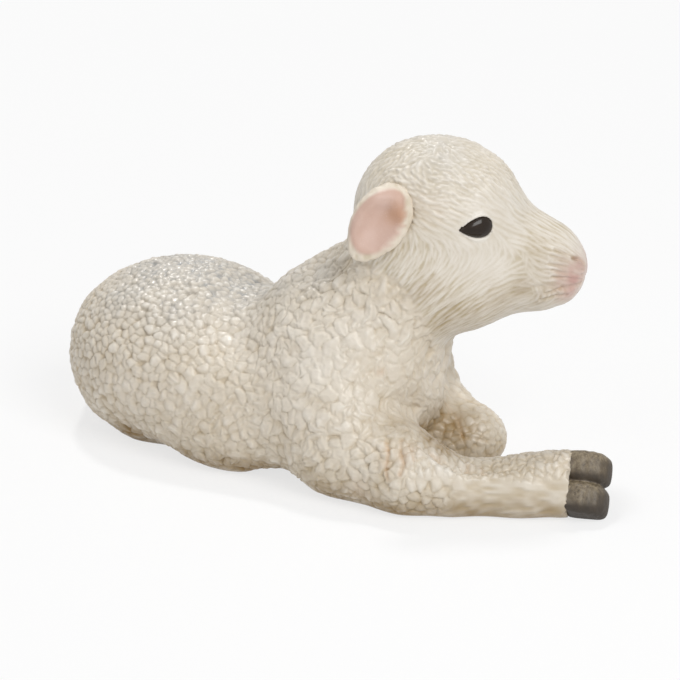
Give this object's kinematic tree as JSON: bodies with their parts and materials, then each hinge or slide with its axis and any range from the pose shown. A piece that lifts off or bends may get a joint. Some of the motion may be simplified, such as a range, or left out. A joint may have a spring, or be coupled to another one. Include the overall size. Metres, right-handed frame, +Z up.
{
  "type": "toy farm animal figure",
  "caption": "Moulded toy lamb lying down with its head raised and turned, near foreleg stretched forward, far foreleg folded, curly wool and cloven hooves.",
  "frame": {"origin": "on the floor under the middle of the figure's bounding box", "axes": "+X from rump to breast, +Y to the lamb's left, +Z up"},
  "size_m": [0.0644, 0.0278, 0.0369],
  "materials": {
    "fleece": "satin vinyl, cream paint with a tan wash in the curls",
    "face": "satin vinyl, cream paint with a fine tan wash in the combed hair",
    "ear": "satin vinyl, cream back and rim, pink paint inside",
    "eye": "glossy dark brown paint under clear varnish",
    "hoof": "satin vinyl, grey-brown paint with dry-brushed lights"
  },
  "bodies": {
    "root": {"torso": "fleece", "head": "face", "right_ear": "ear", "left_ear": "ear", "right_eye": "eye", "left_eye": "eye", "right_fore_leg": "fleece", "left_fore_leg": "fleece", "right_hind_leg": "fleece", "left_hind_leg": "fleece", "tail": "fleece", "right_fore_hoof": "hoof", "left_fore_hoof": "hoof", "right_hind_hoof": "hoof", "left_hind_hoof": "hoof"}
  },
  "joints": []
}
